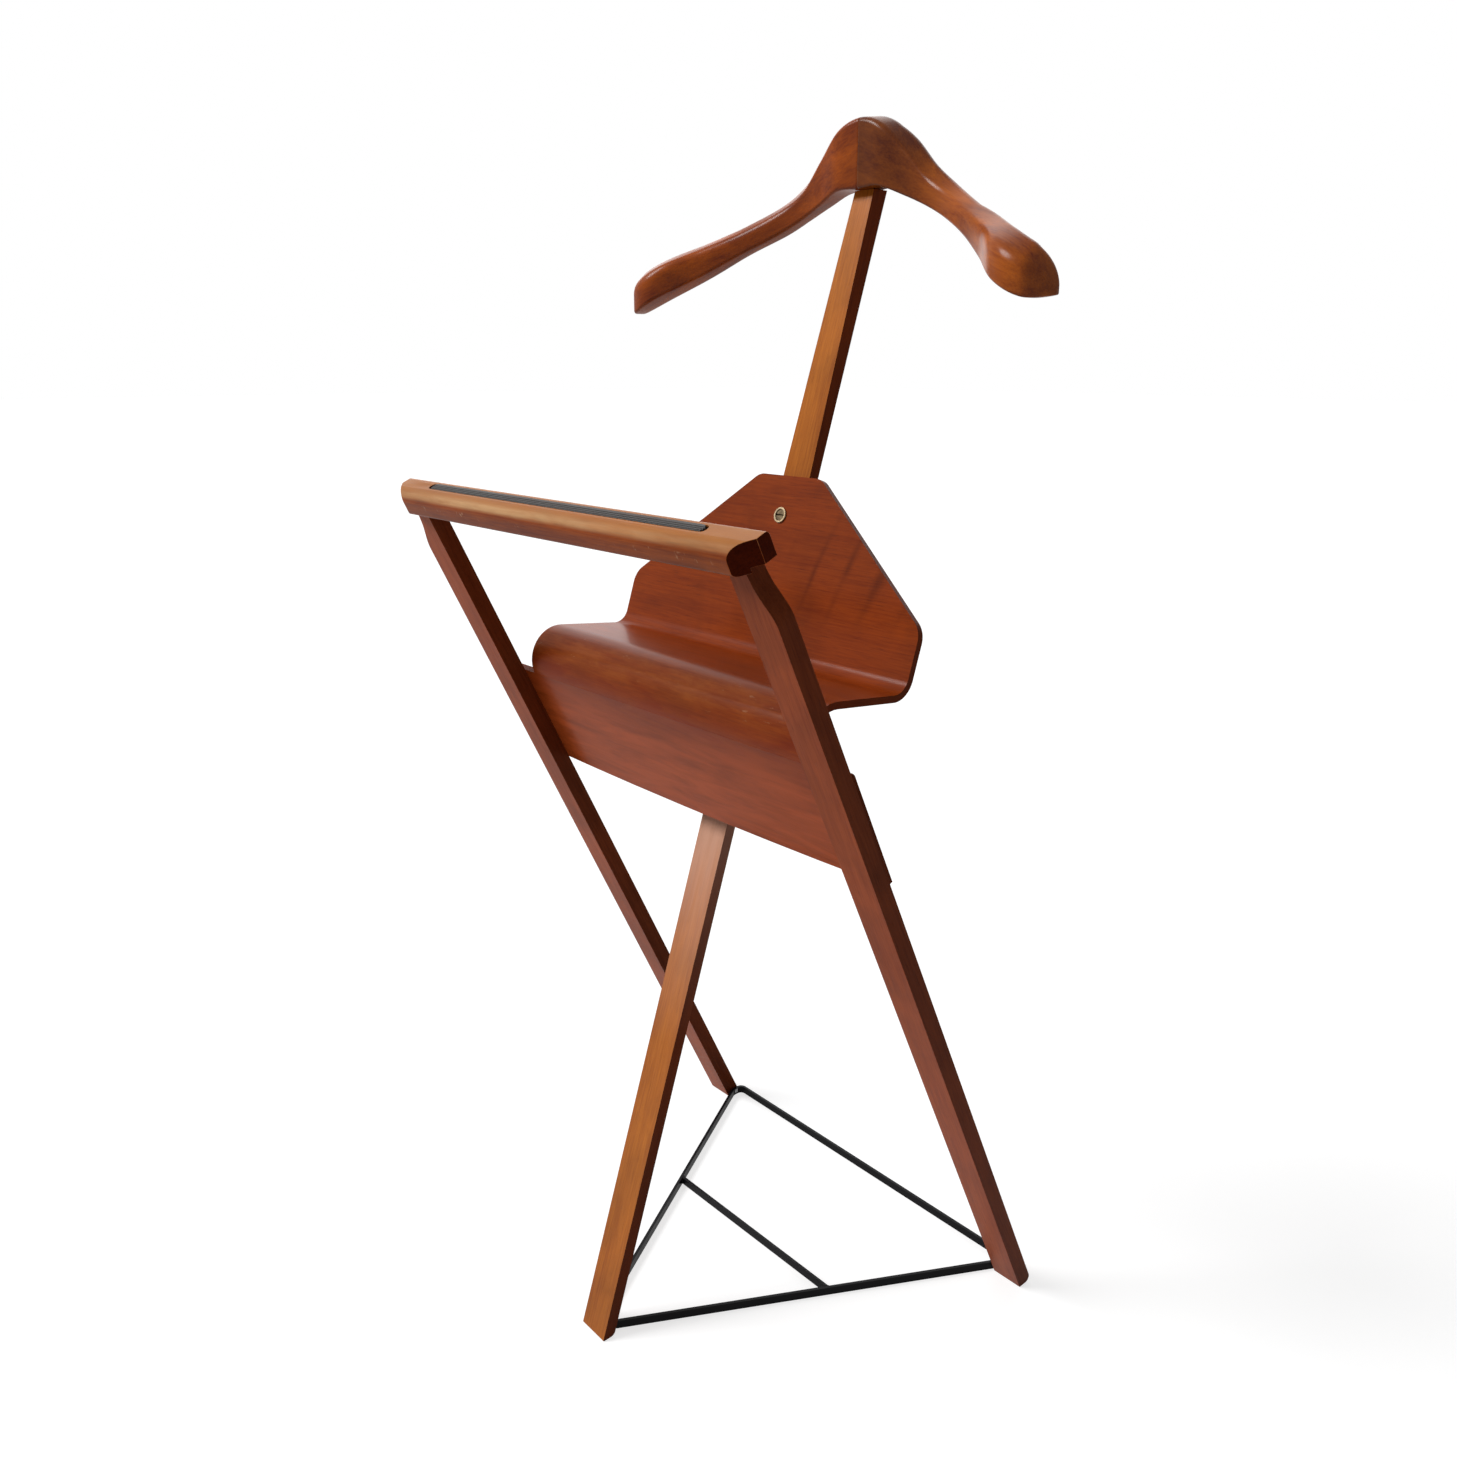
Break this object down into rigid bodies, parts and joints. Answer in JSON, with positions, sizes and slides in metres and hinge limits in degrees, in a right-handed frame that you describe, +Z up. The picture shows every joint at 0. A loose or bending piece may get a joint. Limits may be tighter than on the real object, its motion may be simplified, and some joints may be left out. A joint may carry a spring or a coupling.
{
  "type": "clothes valet",
  "caption": "Standing clothes valet with leaning wooden legs, a ribbed trouser bar, a bent wood tray, a base of bent flat steel and a leaning post that swings back and carries a coat hanger.",
  "frame": {"origin": "on the floor, under the middle of the bounding box", "axes": "+X across the valet to the right of someone facing it from the post's foot, +Y from the post's foot towards the rear feet, +Z up"},
  "size_m": [0.492, 0.3908, 1.0754],
  "materials": {
    "leg_wood": "red-brown stain under satin lacquer, worn on the front edges",
    "bar_wood": "dark red-brown stain under satin lacquer",
    "post_wood": "light brown face and dark sides under satin lacquer",
    "tray_veneer": "figured red-brown veneer under satin lacquer",
    "hanger_wood": "orange-brown stain under satin lacquer",
    "dowel_wood": "bare",
    "rubber": "matt, ribbed along its length",
    "bronze": "brushed, dulled",
    "black_steel": "gloss black",
    "screw_steel": "plain zinc",
    "felt": "dense brown felt"
  },
  "bodies": {
    "leg_frame": {"leg_left": "leg_wood", "leg_right": "leg_wood", "trouser_bar": "bar_wood", "bar_dowels": "dowel_wood", "grip_strip": "rubber", "tray": "tray_veneer", "tray_screws": "screw_steel", "bolt_ring": "bronze", "spacer_washer": "felt", "base_loop": "black_steel", "base_cross_bar": "black_steel", "base_pin": "black_steel", "base_screws": "screw_steel"},
    "post": {"post": "post_wood", "thread_insert": "bronze", "foot_clip": "screw_steel", "clip_screw": "screw_steel", "hanger_left": "hanger_wood", "hanger_right": "hanger_wood", "hanger_dowels": "dowel_wood"},
    "bolt": {"clamp_bolt": "bronze"}
  },
  "joints": [
    {"name": "post_swing", "type": "hinge", "parent": "leg_frame", "child": "post", "pos_m": [0, -0.1524, 0.005], "axis": [-1, 0, 0], "range_deg": [0, 71.5]},
    {"name": "bolt_slide", "type": "slide", "parent": "leg_frame", "child": "bolt", "axis": [0, -0.9521, 0.3057], "range_m": [0, 0.018]}
  ]
}
